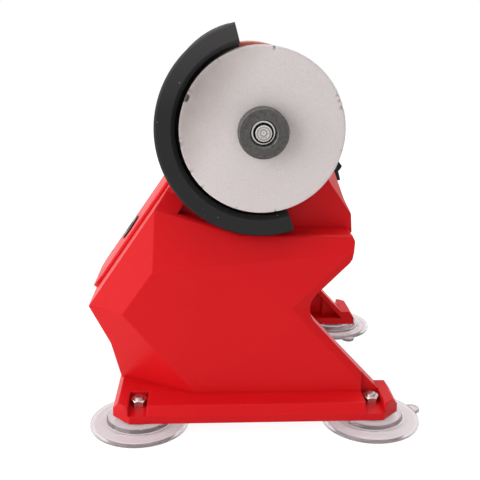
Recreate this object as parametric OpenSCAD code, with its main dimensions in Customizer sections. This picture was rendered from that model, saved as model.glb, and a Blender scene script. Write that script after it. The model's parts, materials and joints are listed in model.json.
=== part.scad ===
// Cordless mini bench grinder on four suction cups.
// Millimetres, Z up. X runs from the sloping back (-X) to the operator (+X), Y along the wheel spindle.
// The origin is on the table, in the middle of the four suction cups.

/* [Grinding wheels] */
// Diameter of a grinding wheel
wheel_d = 70; // [60:0.5:76]
// Thickness of a grinding wheel
wheel_t = 16; // [10:0.5:18]
// Bore of a grinding wheel
wheel_bore = 10; // [8:0.5:12]
// Distance between the outer faces of the two wheels
wheel_span = 108.6; // [106:0.2:116]
// Height of the spindle above the table
axle_z = 133; // [132:0.5:140]
// Place of the spindle in front of the middle of the base
axle_x = 1.8; // [0:0.1:3]

/* [Wheel clamping] */
// Diameter of the clamping flange and the outer washer
clamp_d = 21.2; // [18:0.2:26]
// Thickness of the inner clamping flange
clamp_t = 2; // [1.5:0.1:2.4]
// Thickness of the outer clamping washer
washer_t = 7.2; // [6.8:0.1:9]
// Diameter of the wheel screw's head
screw_head_d = 8.6; // [7:0.1:10]
// Height of the wheel screw's head
screw_head_h = 3; // [2:0.1:3.4]
// Diameter of the lock ring under the screw head
lock_ring_d = 10; // [9:0.1:12]
// Thread diameter of the wheel screw
wheel_screw_d = 4; // [3:0.5:5]

/* [Motor] */
// Diameter of the motor can
motor_d = 42; // [38:0.5:43]
// Diameter of the motor shaft
shaft_d = 5; // [4:0.1:6]
// Wall of the motor can
can_wall = 1.6; // [1:0.1:2.2]
// Diameter of the bearing boss on each motor end
motor_boss_d = 17.5; // [14:0.5:19]
// How far the bearing boss stands out
motor_boss_h = 3.6; // [3.2:0.1:4]
// Diameter of the rotor
rotor_d = 27; // [24:0.5:28]
// Length of the rotor core
rotor_len = 30; // [24:1:34]
// Number of rotor slots
rotor_slots = 5; // [3:1:7]
// Radial gap round the rotor
air_gap = 0.6; // [0.4:0.1:1]

/* [Wheel guards] */
// Outer radius of the guard
guard_r = 45.5; // [44:0.1:46]
// Wall of the guard
guard_wall = 2.2; // [1.6:0.1:2.5]
// Inner radius of the guard's front lip
guard_lip_r = 36.8; // [36.4:0.1:40]
// How far the wheel face stands out of the guard
guard_setback = 0.4; // [0:0.1:3]
// Angle at which the guard starts, over the top of the wheel
guard_from = 105; // [95:1:110]
// Angle that the guard covers
guard_sweep = 183.4; // [170:0.2:186]

/* [Housing] */
// Wall of the housing shells
wall = 2.5; // [2:0.1:3]
// Width of the motor tower
tower_w = 64; // [62:0.5:66]
// Width of the housing where it meets the flange
foot_w = 111; // [106:1:114]
// Lean of the lower side walls, run over rise
side_lean = 0.10; // [0.06:0.01:0.14]
// Height of the underside of the base
base_z = 6; // [5.5:0.1:8]
// Thickness of the housing floor
floor_t = 3.8; // [3.4:0.1:4.4]
// Length of the base flange
flange_len = 129; // [126:0.5:132]
// Width of the base flange
flange_w = 138; // [136:0.5:142]
// Height of the base flange
flange_h = 7.6; // [7:0.1:9]
// Height of the upright edge of the flange
flange_lip = 3.8; // [3:0.1:5]
// How far the top of the flange is drawn in
flange_draft = 2.6; // [1.5:0.1:4]
// Cut across the corners of the flange
flange_corner = 8; // [5:0.5:10]
// Inner faces of the two front legs, from side to side
leg_gap = 89; // [80:1:92]
// Radius in the notch above the front legs
notch_r = 9.7; // [7:0.1:11]

/* [Rear cover] */
// Width of the raised rear cover
cover_w = 42; // [36:1:48]
// Length of the raised rear cover
cover_len = 80; // [74:1:82]
// How far the rear cover stands out
cover_h = 1.6; // [1.4:0.1:2.4]

/* [Switch and charging jack] */
// Length of the switch frame
switch_len = 22; // [20:0.5:24]
// Width of the switch frame
switch_w = 15; // [13:0.5:18]
// Length of the rocker
rocker_len = 14.8; // [13:0.2:15.4]
// Full swing of the rocker in degrees
rocker_swing = 20; // [14:1:22]
// Diameter of the charging jack's face
jack_d = 13.6; // [12:0.2:15]
// Diameter of the charging jack's body
jack_body_d = 11; // [10:0.2:12]

/* [Suction cups] */
// Diameter of a suction cup
cup_d = 45; // [40:0.5:48]
// Distance between the cups from back to front
cup_pitch_x = 106; // [104:0.5:108]
// Distance between the cups from side to side
cup_pitch_y = 114; // [112:0.5:116]
// Thread diameter of a cup's stud
stud_d = 4; // [3:0.5:5]
// Width across the flats of a cup nut
nut_af = 7; // [6:0.1:8]
// Height of a cup nut
nut_h = 3.2; // [2.4:0.1:4]

/* [Battery] */
// Diameter of a battery cell
cell_d = 18.4; // [17:0.1:19]
// Length of a battery cell
cell_len = 65; // [60:0.5:66]

/* [Fits] */
// Running clearance of the shaft in its bushes, on the radius
run_fit = 0.03; // [0.02:0.01:0.08]
// Clearance between pieces that are set together, on each side
seat_fit = 0.15; // [0.1:0.05:0.3]

/* [Hidden] */
$fn = 64;
// Longer than anything here, for cutting blocks
big = 400;
// Small overlap that keeps cuts clean
eps = 0.02;
// Wedge and tower lie this far inside the slope of the low body, so that no two faces coincide
hair = 0.06;
// Radial clearance of pressed pieces
press_fit = 0.02;

// Stations along the spindle, from the middle outwards
tower_y = tower_w / 2;
can_y = tower_y - wall - seat_fit;
boss_y = can_y + motor_boss_h;
wheel_y1 = wheel_span / 2;
wheel_y0 = wheel_y1 - wheel_t;
clamp_y0 = wheel_y0 - clamp_t;
shaft_y = wheel_y0 + wheel_t / 2;
arbor_y1 = wheel_y1 - 0.8;
washer_y1 = wheel_y1 + washer_t;
washer_seat = 2.8;
washer_seat_d = lock_ring_d + 0.8;
washer_edge = 0.5;
ring_y0 = wheel_y1 + washer_seat;
lock_ring_t = 1;
head_y0 = ring_y0 + lock_ring_t;
guard_y1 = wheel_y1 - guard_setback;

// Motor inside
motor_r = motor_d / 2;
cap_t = 3.2;
cap_y0 = can_y - cap_t;
can_end_t = 2;
bush_d = 9;
bush_len = 6;
bush_y1 = boss_y - 0.5;
rotor_y = -3;
magnet_r = rotor_d / 2 + air_gap;
commutator_d = 10;
commutator_len = 7;
winding_bulge = 5;
commutator_y0 = rotor_y + rotor_len / 2 + winding_bulge + 0.5;
brush_y = commutator_y0 + commutator_len / 2;
brush_w = 4;
brush_gap = 0.1;
brush_len = 6;
brush_y0 = brush_y - brush_w / 2 - 1.2;

// Side view of the housing, points as [x, z]
floor_z = base_z + floor_t;
flange_z = base_z + flange_h;
rear_slope = 55;
tail = [-76, 52];
heel = [-67, 32.5];
rear_foot = [-62, base_z];
front_foot = [flange_len / 2 - 0.5, base_z];
notch = [20.9, 52.6];
nose_low = [42.2, 73.1];
nose_mid = [43.4, 75];
nose_top = [44.5, 82.9];
shelf_z = axle_z - guard_r - 1.6;
shelf_front = [43.4, shelf_z - 0.6];
shelf_mid = [-6, shelf_z];
shelf_rear = [-34.6, shelf_z + 8];
function on_slope(z) = [tail[0] + (z - tail[1]) / tan(rear_slope), z];
shoulder_z = 97.4;
// The slope reaches a little past the rear cover, which starts just below the tail
cover_start = -1.6;
cover_end_gap = 1.7;
wedge_z = tail[1] + (cover_start + cover_len + cover_end_gap) * sin(rear_slope);
low_outline = [rear_foot, front_foot, notch, nose_low, nose_mid, nose_top, shelf_front, shelf_mid,
    shelf_rear, on_slope(shoulder_z), tail, heel];
notch_i = 2;
// The notch's round crosses its two flats at a slight angle, which keeps their edges clean
notch_cross = 0.03;
wedge_foot_z = shelf_z - 1.9;
wedge_outline = [on_slope(wedge_foot_z), [-36, wedge_foot_z], shelf_rear, on_slope(wedge_z) + [9.9, 0],
    on_slope(wedge_z)];

// The tower stands over the motor, with a leaning front that carries the switch
tower_top = axle_z + motor_r + wall + 0.5;
switch_foot = [42.2, 97.9];
tower_brow = [28, 150];
front_lean = atan((switch_foot[0] - tower_brow[0]) / (tower_brow[1] - switch_foot[1]));
tower_outline = [[-46, 66], [36, 70], [45.6, shelf_z - 2.4], [44.9, 92.4], switch_foot, tower_brow,
    [14, tower_top], [-14, tower_top], [-30, 141], on_slope(wedge_z) + [2 * hair, 0],
    on_slope(86) + [2 * hair, 0]];

// Oblique faces of one side wall, each given by three of its points
function side_y(z) = foot_w / 2 - side_lean * (z - flange_z);
shoulder_y = 40;
corner_top = [-45.3, -shoulder_y, 92.9];
crease_rear = [-46.1, -side_y(69.9), 69.9];
crease_front = [27.6, -side_y(76.4), 76.4];
corner_low = [-59.9, -side_y(50.9), 50.9];
heel_front = [-26.8, -side_y(12.7), 12.7];
tail_side = [tail[0], -43, tail[1]];
// A wedge behind each guard, from the slope to the shelf, set in a little from the faces below it
wedge_in = 0.3;
wedge_face = [[-44.2, -37.3, 97.4], [-34.6, -38.6, 93.9], [-37.5, -tower_y, 102.2]];
rear_facet = [corner_top, corner_low, crease_rear];
side_faces = [
    [[0, -side_y(base_z), base_z], [1, -side_y(base_z), base_z], [0, -side_y(60), 60]],
    [corner_top, crease_rear, crease_front],
    rear_facet,
    [corner_low, tail_side, heel_front],
];
// Soft edge of the shelf, along its level and its rising part
soft_level = 0.8;
soft_rise = 0.95;
function shoulder_at(p) = corner_top[1] - ((p[0] - corner_top[0]) * shoulder_n[0]
    + (p[1] - corner_top[2]) * shoulder_n[2]) / shoulder_n[1];
shoulder_n = cross(crease_rear - corner_top, crease_front - corner_top);
function soft_in(p, soft) = [p[0], shoulder_at(p) + soft, p[1]];
function soft_down(p, soft) = [p[0], shoulder_at(p + [0, -soft]), p[1] - soft];
soft_faces = [
    [soft_in(shelf_mid, soft_level), soft_down(shelf_mid, soft_level), soft_in(shelf_front, soft_level)],
    [soft_in(shelf_rear, soft_rise), soft_down(shelf_mid, soft_rise), soft_in(shelf_mid, soft_rise)],
];
// Bevel along the front edge of a leg and the underside of the nose, as [depth, width]
bevel = [1.2, 3.4];
function on_wall(p) = [p[0], -side_y(p[1]), p[1]];
leg_in = left_of(front_foot, notch);
nose_in = left_of(notch, nose_low);
notch_in = notch + bevel[1] * mitre(leg_in, nose_in);
notch_edge = on_wall(notch) + [0, bevel[0], 0];
bevel_faces = [
    [notch_edge, on_wall(notch_in), on_wall(front_foot + bevel[1] * leg_in)],
    [notch_edge, on_wall(nose_low + bevel[1] * nose_in), on_wall(notch_in)],
];
brow_low = [38.1, -tower_y, 101.6];
brow_mid = [39.3, -15, 108.6];
brow_side = [34.3, -tower_y, 107.1];
brow_faces = [
    [brow_low, brow_mid, brow_side],
    [brow_side, brow_mid, brow_side + [-tan(front_lean), 0, 1]],
];

// Front legs and the wall between them
front_wall_x = 24;
leg_y = leg_gap / 2;

// Base plate in the floor
hatch = [-50, 14];
hatch_y = 38;
plate_t = 1.8;
plate_screw_d = 2.5;
plate_screw_len = 7;
plate_head_d = 4.6;
plate_head_h = 0.8;
plate_seat = plate_head_h + 0.1;
plate_screw_in = plate_head_d / 2 + 0.7;
plate_screw_y = hatch_y - 6;
plate_boss_d = 6;
plate_boss_h = 10;
hatch_ledge = 2 * plate_screw_in;

// Screws that join the shells, as [x, z]
shell_posts = [[-60, 47], [30, 75], [-22, 142], [22.5, 145], [16, 36]];
post_d = 7.5;
shell_screw_d = 3;
shell_head_d = 5.4;
shell_head_h = 2.2;
shell_seat_y = 8;
shell_screw_len = 20;

// Guard screws, as angles round the spindle
guard_screw_at = [165, 200, 255];
guard_screw_r = 28;
guard_screw_d = 3;
guard_screw_len = 9;
guard_head_d = 5.6;
guard_head_h = 1.8;
guard_boss_d = 7;
guard_plate_r = 14;
lip_t = 3.6;
lip_bevel = [1.8, 2.4];

// Rear cover, in a frame that lies on the rear slope
cover_edge = 0.5;
cover_r = 10;
jack_s = 30.4;
jack_face_t = 0.8;
jack_edge = 0.3;
jack_body_len = 18;
cover_screw_s = [9, cover_len - 12];
cover_screw_y = cover_w / 2 - 6;
cover_screw_d = 2.5;
cover_screw_len = 6;
cover_head_h = 0.7;
cover_seat = cover_head_h + 0.1;

// Switch, in a frame that lies on the tower's front face
switch_s = 15.7;
frame_t = 2.8;
switch_depth = 12;
switch_wall = 1.2;
rocker_w = switch_w - 2 * switch_wall - 3.2;
rocker_pivot = -1;
rocker_rise = 1.7;
rocker_pin_d = 2.4;
rocker_gap = 0.35;
rocker_r = norm([rocker_len / 2, frame_t - rocker_pivot]);
switch_body_w = rocker_w + 2 * (rocker_gap + switch_wall);
switch_body_len = 2 * (rocker_r + rocker_gap + switch_wall);
blade = [0.8, 4.8, 7];

// Suction cups, as [x side, y side, angle of the pull tab]
cups = [[-1, -1, 60], [1, -1, 18], [1, 1, -73], [-1, 1, 150]];
cup_x = cup_pitch_x / 2;
cup_y = cup_pitch_y / 2;
cup_r = cup_d / 2;
rim_h = 2.2;
cup_ring_r = 13.4;
cup_neck_r = 7;
cup_lip = 3;
cup_hollow = 1.2;
cup_hollow_r = 6;
stud_head_z = 2.4;
stud_head_d = 2 * stud_d;
stud_head_h = 1.5;
stud_play = 0.05;
tab_reach = 26.4;
tab_w = 7;
tab_t = 1.8;
pocket_z = base_z + 3.4;
pocket_w = nut_af + 1.4;
stud_top = pocket_z + nut_h + 1;

// Battery pack on the base plate
plate_top = base_z + plate_t;
cell_pitch = cell_d + 1.4;
cells_x = [for (i = [-1:1]) (hatch[0] + hatch[1]) / 2 + i * cell_pitch];
bracket_t = 5;
bracket_y = cell_len / 2 - 10;
bracket_h = cell_d + 5;
cell_z = plate_top + bracket_h / 2;
strip_t = 0.3;
strip_w = 7;
strip_over = 8;
board = [44, 52, 1.6];
board_z = plate_top + bracket_h;
coil = [10, 6];
coil_at = [-12, -12];
cap = [8, 11];
cap_at = [-14, 10];
relay = [8, 10, 3];
relay_at = [6, -16];
chip = [14, 14, 2];
chip_at = [2, 4];

// Plane geometry: a closed outline moved inwards, keeping its walls parallel
function unit(v) = v / norm(v);
function left_of(a, b) = unit([a[1] - b[1], b[0] - a[0]]);
function mitre(m, n) = (m + n) / (1 + m * n);
function edge_left(p, i) = left_of(p[i], p[(i + 1) % len(p)]);
function edge_before(p, i) = edge_left(p, (i + len(p) - 1) % len(p));
function inset(p, d) = [for (i = [0:len(p) - 1]) p[i] + d * mitre(edge_before(p, i), edge_left(p, i))];

// A shape drawn in the side view, made as a left half that may reach over the middle plane
module half_from_side(half_w, over) {
    translate([0, over, 0]) rotate([90, 0, 0]) linear_extrude(half_w + over) children();
}

// A block that covers everything outside the face through three points, moved in by d
module beyond(face, d) {
    n = unit(cross(face[1] - face[0], face[2] - face[0]));
    translate(face[0] - d * n) rotate([0, acos(n[2]), atan2(n[1], n[0])])
        translate([-big / 2, -big / 2, 0]) cube(big);
}

module beyond_both(faces, d) {
    intersection() {
        beyond(faces[0], d);
        beyond(faces[1], d);
    }
}

// Turned about the spindle: local z becomes the distance from the middle
module on_spindle(side = -1) {
    translate([axle_x, 0, axle_z]) mirror([0, side > 0 ? 1 : 0, 0]) rotate([90, 0, 0]) children();
}

// A round bar or ring along the spindle, from y0 to y1
module ring(y0, y1, d, bore = 0) {
    translate([0, 0, y0]) difference() {
        cylinder(d = d, h = y1 - y0);
        if (bore > 0) translate([0, 0, -1]) cylinder(d = bore, h = y1 - y0 + 2);
    }
}

// Housing body, drawn in by d
module low_shape(d) {
    before = edge_before(low_outline, notch_i);
    after = edge_left(low_outline, notch_i);
    centre = low_outline[notch_i] - notch_r * mitre(before, after);
    r = notch_r + d;
    deep = r + 1;
    polygon(inset(low_outline, d));
    difference() {
        polygon([centre + deep * mitre(before, after), centre + deep * before, centre, centre + deep * after]);
        translate(centre) circle(r + notch_cross);
    }
}

module low_body(d) {
    difference() {
        half_from_side(flange_w / 2, d) low_shape(d);
        for (face = side_faces) beyond(face, d);
        beyond_both(soft_faces, d);
        beyond_both(bevel_faces, d);
    }
}

module wedge_body(d) {
    difference() {
        half_from_side(shoulder_y - 2 * wedge_in, d) polygon(inset(wedge_outline, d + hair));
        beyond(wedge_face, d);
        beyond(rear_facet, d + wedge_in);
    }
}

module tower_body(d) {
    difference() {
        half_from_side(tower_y - d, d) polygon(inset(tower_outline, d));
        beyond_both(brow_faces, d);
    }
}

module housing_body(d) {
    low_body(d);
    wedge_body(d);
    tower_body(d);
}

// Base flange with a drawn-in top and cut corners
module flange() {
    half = flange_len / 2;
    edge_z = base_z + flange_lip;
    edge_y = flange_w / 2;
    cut = flange_corner * sqrt(2);
    difference() {
        half_from_side(edge_y, 0) polygon([[-half, base_z], [half, base_z], [half, edge_z],
            [half - flange_draft, flange_z], [flange_draft - half, flange_z], [-half, edge_z]]);
        beyond([[0, -edge_y, edge_z], [1, -edge_y, edge_z], [0, flange_draft - edge_y, flange_z]], 0);
        for (s = [-1, 1]) translate([s * half, -edge_y, 0]) rotate([0, 0, 45])
            cube([cut, cut, big], center = true);
    }
}

module leg_space() {
    translate([front_wall_x, -leg_y, -1]) cube([big, leg_gap, notch[1] - 2]);
}

module cavity() {
    difference() {
        union() {
            low_body(wall);
            tower_body(wall);
        }
        translate([-big / 2, -big / 2, floor_z - big]) cube(big);
    }
}

// Inside a shell: front wall, screw posts, motor socket
module front_wall() {
    translate([front_wall_x - wall, -big, base_z]) cube([wall, big, notch[1] - base_z + 6]);
}

module guard_screw_places() {
    for (a = guard_screw_at) rotate([0, 0, a]) translate([guard_screw_r, 0, 0]) children();
}

module plate_screw_places() {
    for (x = [hatch[0] - plate_screw_in, hatch[1] + plate_screw_in], y = [-1, 1])
        translate([x, y * plate_screw_y, base_z]) children();
}

// Local z runs from the middle plane into the left shell
module post_places() {
    for (p = shell_posts) translate([p[0], 0, p[1]]) rotate([90, 0, 0]) children();
}

module shell_fittings() {
    front_wall();
    post_places() cylinder(d = post_d, h = big);
    on_spindle() ring(can_y - 9, tower_y, motor_d + 2 * seat_fit + 5);
    on_spindle() guard_screw_places() translate([0, 0, tower_y - guard_screw_len])
        cylinder(d = guard_boss_d, h = guard_screw_len);
    plate_screw_places() cylinder(d = plate_boss_d, h = plate_boss_h);
    for (s = [-1, 1]) translate([s * cup_x - pocket_w / 2 - wall, pocket_w / 2 - cup_y - eps, base_z])
        cube([pocket_w + 2 * wall, wall, 14]);
}

module cup_places() {
    for (c = cups) translate([c[0] * cup_x, c[1] * cup_y, 0]) children();
}

module nut_pockets() {
    for (s = [-1, 1]) translate([s * cup_x, -cup_y, 0]) {
        cylinder(d = stud_d + 0.5, h = flange_z);
        translate([-pocket_w / 2, -big, pocket_z]) cube([pocket_w, big + pocket_w / 2, big]);
    }
}

// Frames that lie on the rear slope and on the tower's front
module on_rear(s = 0) {
    translate([tail[0], 0, tail[1]]) rotate([0, -rear_slope, 0]) translate([s, 0, 0]) children();
}

module on_front(s = 0) {
    translate([switch_foot[0], 0, switch_foot[1]]) rotate([0, 90 - front_lean, 0])
        translate([-s, 0, 0]) children();
}

module cover_screw_places() {
    for (s = cover_screw_s, y = [-1, 1])
        on_rear(cover_start + s) translate([0, y * cover_screw_y, cover_h]) children();
}

module shell_cuts() {
    on_spindle() ring(-1, big, motor_boss_d + 4 * seat_fit);
    on_spindle() ring(-1, can_y + seat_fit, motor_d + 2 * seat_fit);
    on_spindle() guard_screw_places() translate([0, 0, tower_y - guard_screw_len + 1])
        cylinder(d = guard_screw_d + 0.1, h = big);
    nut_pockets();
    leg_space();
    translate([hatch[0], -hatch_y, 0]) cube([hatch[1] - hatch[0], 2 * hatch_y, floor_z + 1]);
    translate([hatch[0] - hatch_ledge, -hatch_y - hatch_ledge, base_z - 1])
        cube([hatch[1] - hatch[0] + 2 * hatch_ledge, 2 * (hatch_y + hatch_ledge), plate_t + 1]);
    plate_screw_places() cylinder(d = plate_screw_d + 0.1, h = plate_boss_h - 1);
    on_rear(jack_s) translate([0, 0, -wall - 4]) linear_extrude(wall + 8)
        circle(d = jack_body_d + 2 * seat_fit);
    cover_screw_places() translate([0, 0, -cover_h - wall - 4]) cylinder(d = cover_screw_d + 0.1, h = wall + 8);
    on_front(switch_s) translate([-switch_body_len / 2 - seat_fit, -switch_body_w / 2 - seat_fit, -wall - 4])
        cube([switch_body_len + 2 * seat_fit, switch_body_w + 2 * seat_fit, wall + 8]);
}

// The left half shell, with either pilot holes or wells for the screws that join the shells
module half_shell(wells) {
    difference() {
        union() {
            difference() {
                union() {
                    housing_body(0);
                    flange();
                }
                cavity();
            }
            intersection() {
                shell_fittings();
                housing_body(0.4);
            }
        }
        shell_cuts();
        if (wells)
            post_places() {
                translate([0, 0, -1]) cylinder(d = shell_screw_d + 0.4, h = big);
                translate([0, 0, shell_seat_y]) cylinder(d = shell_head_d + 0.4, h = big);
            }
        else
            post_places() translate([0, 0, -1])
                cylinder(d = shell_screw_d + 0.1, h = shell_screw_len - shell_seat_y + 2);
    }
}

module left_shell() {
    color("#d5202a") half_shell(false);
}

module right_shell() {
    color("#d5202a") mirror([0, 1, 0]) half_shell(true);
}

// Raised cover on the rear slope, with soft edges and a round hole for the jack
module cover_plan() {
    x0 = cover_start + cover_r;
    x1 = cover_start + cover_len - cover_r;
    y = cover_w / 2 - cover_r;
    translate([x0, -cover_w / 2]) square([x1 - x0, cover_w]);
    translate([cover_start, -y]) square([cover_len, 2 * y]);
    for (x = [x0, x1], s = [-1, 1]) translate([x, s * y]) circle(cover_r);
}

module cover_section(length) {
    r = cover_h - cover_edge;
    translate([0, -1]) square([length, 1 + cover_edge]);
    translate([r, 0]) square([length - 2 * r, cover_h]);
    for (x = [r, length - r]) translate([x, cover_edge]) circle(r);
}

module rear_cover() {
    color("#d5202a") difference() {
        on_rear() intersection() {
            linear_extrude(cover_h) cover_plan();
            translate([0, -cover_w / 2, 0]) rotate([90, 0, 90])
                linear_extrude(2 * cover_len, center = true) cover_section(cover_w);
            translate([cover_start, cover_w, 0]) rotate([90, 0, 0])
                linear_extrude(2 * cover_w) cover_section(cover_len);
        }
        on_rear(jack_s) translate([0, 0, -1]) cylinder(d = jack_body_d + 2 * seat_fit, h = cover_h + 2);
        cover_screw_places() translate([0, 0, -cover_h - 1]) cylinder(d = cover_screw_d + 0.3, h = big);
        cover_screw_places() translate([0, 0, -cover_seat]) cylinder(d = 2 * cover_screw_d + 0.4, h = big);
    }
}

// Base plate under the battery, let into the floor
module base_plate() {
    grow = hatch_ledge - seat_fit;
    color("#2c2c2e") difference() {
        translate([hatch[0] - grow, -hatch_y - grow, base_z])
            cube([hatch[1] - hatch[0] + 2 * grow, 2 * (hatch_y + grow), plate_t]);
        plate_screw_places() translate([0, 0, -1]) cylinder(d = plate_screw_d + 0.3, h = plate_t + 2);
        plate_screw_places() translate([0, 0, -1]) cylinder(d = plate_head_d + 0.4, h = plate_seat + 1);
    }
}

// A pan-head screw that points down local z, with its seat at zero
module pan_screw(d, length, head_d, head_h) {
    translate([0, 0, -length]) cylinder(d = d, h = length + eps);
    difference() {
        rotate_extrude() polygon([[0, 0], [head_d / 2, 0], [head_d / 2, head_h * 0.55],
            [head_d * 0.36, head_h], [0, head_h]]);
        for (a = [0, 90]) rotate([0, 0, a]) translate([0, 0, head_h])
            cube([head_d * 0.6, head_d * 0.13, head_h], center = true);
    }
}

// A button-head screw with a hexagon socket, seat at zero
module socket_screw(d, length, head_d, head_h) {
    r = head_d / 2;
    translate([0, 0, -length]) cylinder(d = d, h = length + eps);
    difference() {
        rotate_extrude() polygon([[0, 0], [r, 0], [r, head_h * 0.4], [r * 0.92, head_h * 0.72],
            [r * 0.78, head_h * 0.93], [r * 0.6, head_h], [0, head_h]]);
        translate([0, 0, head_h * 0.35]) cylinder(d = head_d * 0.52, h = head_h, $fn = 6);
    }
}

module shell_screws() {
    color("silver") for (p = shell_posts)
        translate([p[0], shell_seat_y, p[1]]) rotate([-90, 0, 0])
            pan_screw(shell_screw_d, shell_screw_len, shell_head_d, shell_head_h);
}

module plate_screws() {
    color("silver") plate_screw_places() translate([0, 0, plate_seat]) mirror([0, 0, 1])
        pan_screw(plate_screw_d, plate_screw_len, plate_head_d, plate_head_h);
}

module cover_screws() {
    color("silver") cover_screw_places() translate([0, 0, -cover_seat])
        pan_screw(cover_screw_d, cover_screw_len, 2 * cover_screw_d, cover_head_h);
}

// Motor: can with one closed end, end cap with the brushes, magnets and bushes
module motor_can() {
    color("#8d9094") on_spindle(-1) difference() {
        union() {
            ring(-cap_y0, can_y, motor_d);
            ring(can_y - eps, boss_y, motor_boss_d);
        }
        ring(-cap_y0 - 1, can_y - can_end_t, motor_d - 2 * can_wall);
        ring(bush_y1 - bush_len, big, bush_d + 2 * press_fit);
        ring(0, big, shaft_d + 1);
    }
}

module motor_end_cap() {
    color("#26262a") on_spindle(1) difference() {
        union() {
            ring(cap_y0, can_y, motor_d);
            ring(can_y - eps, boss_y, motor_boss_d);
            for (s = [-1, 1]) translate([s * (commutator_d / 2 + 1.2), -brush_w / 2 - 1.2, brush_y0])
                mirror([s < 0 ? 1 : 0, 0, 0]) cube([brush_len + 2, brush_w + 2.4, cap_y0 - brush_y0 + eps]);
        }
        for (s = [-1, 1]) translate([s * big / 4, 0, brush_y])
            cube([big / 2, brush_w + 0.2, brush_w + 0.2], center = true);
        ring(bush_y1 - bush_len, big, bush_d + 2 * press_fit);
        ring(0, big, shaft_d + 1);
    }
}

module motor_magnets() {
    color("#4a4a4e") on_spindle(-1) for (a = [0, 180]) rotate([0, 0, a - 65])
        rotate_extrude(angle = 130) translate([magnet_r, -rotor_y - rotor_len / 2 - 1])
            square([motor_r - can_wall - 0.05 - magnet_r, rotor_len + 2]);
}

module motor_bushes() {
    color("#b98a45") for (side = [-1, 1]) on_spindle(side)
        ring(bush_y1 - bush_len, bush_y1, bush_d, shaft_d + 2 * run_fit);
}

module motor_brushes() {
    color("#3a3a3c") on_spindle(1) for (s = [-1, 1])
        translate([s * (commutator_d / 2 + brush_gap + brush_len / 2), 0, brush_y])
            cube([brush_len, brush_w, brush_w], center = true);
}

// Turning pieces
module motor_shaft() {
    color("silver") on_spindle(-1) ring(-shaft_y, shaft_y, shaft_d);
}

module rotor_slot_places() {
    for (i = [0:rotor_slots - 1]) rotate([0, 0, 360 * i / rotor_slots]) children();
}

slot_d = 6;
slot_r = rotor_d / 2 - slot_d / 2 - 1.4;

module rotor_core() {
    color("#77797d") on_spindle(1) difference() {
        ring(rotor_y - rotor_len / 2, rotor_y + rotor_len / 2, rotor_d, shaft_d + 2 * press_fit);
        rotor_slot_places() {
            translate([slot_r, 0, -big / 4]) cylinder(d = slot_d, h = big / 2);
            translate([slot_r, -0.9, -big / 4]) cube([rotor_d, 1.8, big / 2]);
        }
    }
}

module rotor_windings() {
    y1 = rotor_len / 2 + press_fit;
    bulge_r = slot_r + slot_d / 2;
    color("#b5662d") on_spindle(1) translate([0, 0, rotor_y]) difference() {
        union() {
            rotor_slot_places() translate([slot_r, 0, -y1 - 1]) cylinder(d = slot_d - 0.3, h = 2 * y1 + 2);
            for (s = [0, 1]) mirror([0, 0, s]) rotate_extrude() polygon([[0, y1], [bulge_r, y1],
                [bulge_r, y1 + winding_bulge - 2], [bulge_r - 2, y1 + winding_bulge], [0, y1 + winding_bulge]]);
        }
        ring(-big / 2, big / 2, shaft_d + 2 * press_fit);
    }
}

module commutator() {
    color("#b87a43") on_spindle(1) difference() {
        ring(commutator_y0, commutator_y0 + commutator_len, commutator_d, shaft_d + 2 * press_fit);
        rotor_slot_places() translate([commutator_d / 2 - 0.5, -0.25, commutator_y0 - 1])
            cube([1, 0.5, commutator_len + 2]);
    }
}

// Arbor: collar, clamping flange and a sleeve in the bore of the wheel
collar_y0 = boss_y + 1;
sleeve_d = wheel_bore - 0.1;

module wheel_arbors() {
    color("#9a9da1") for (side = [-1, 1]) on_spindle(side) difference() {
        union() {
            ring(collar_y0, clamp_y0 + eps, clamp_d * 0.62);
            ring(clamp_y0, wheel_y0, clamp_d);
            ring(wheel_y0 - eps, arbor_y1, sleeve_d);
        }
        ring(collar_y0 - 1, shaft_y + 0.3, shaft_d + 2 * press_fit);
        ring(shaft_y, arbor_y1 + 1, wheel_screw_d + 2 * press_fit);
    }
}

module wheel(side) {
    soft = 0.7;
    r = wheel_d / 2;
    on_spindle(side) rotate_extrude($fn = 96) polygon([[wheel_bore / 2, wheel_y0], [r - soft, wheel_y0],
        [r, wheel_y0 + soft], [r, wheel_y1 - soft], [r - soft, wheel_y1], [wheel_bore / 2, wheel_y1]]);
}

module white_wheel() {
    color("#d3ccca") wheel(-1);
}

module brown_wheel() {
    color("#c46a4a") wheel(1);
}

// Thick round washer, hollowed so that the lock ring and the screw head lie inside it
module clamp_washers() {
    r = clamp_d / 2;
    hole = wheel_screw_d / 2 + 0.2;
    seat_r = washer_seat_d / 2;
    color("#4a4c4f") for (side = [-1, 1]) on_spindle(side) rotate_extrude() polygon([[hole, wheel_y1],
        [r, wheel_y1], [r, washer_y1 - washer_edge], [r - washer_edge, washer_y1],
        [seat_r + washer_edge, washer_y1], [seat_r, washer_y1 - washer_edge], [seat_r, ring_y0],
        [hole, ring_y0]]);
}

module lock_rings() {
    color("silver") for (side = [-1, 1]) on_spindle(side)
        ring(ring_y0, head_y0, lock_ring_d, wheel_screw_d + 0.4);
}

module wheel_screws() {
    color("silver") for (side = [-1, 1]) on_spindle(side) translate([0, 0, head_y0])
        socket_screw(wheel_screw_d, head_y0 - shaft_y - 1, screw_head_d, screw_head_h);
}

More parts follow.
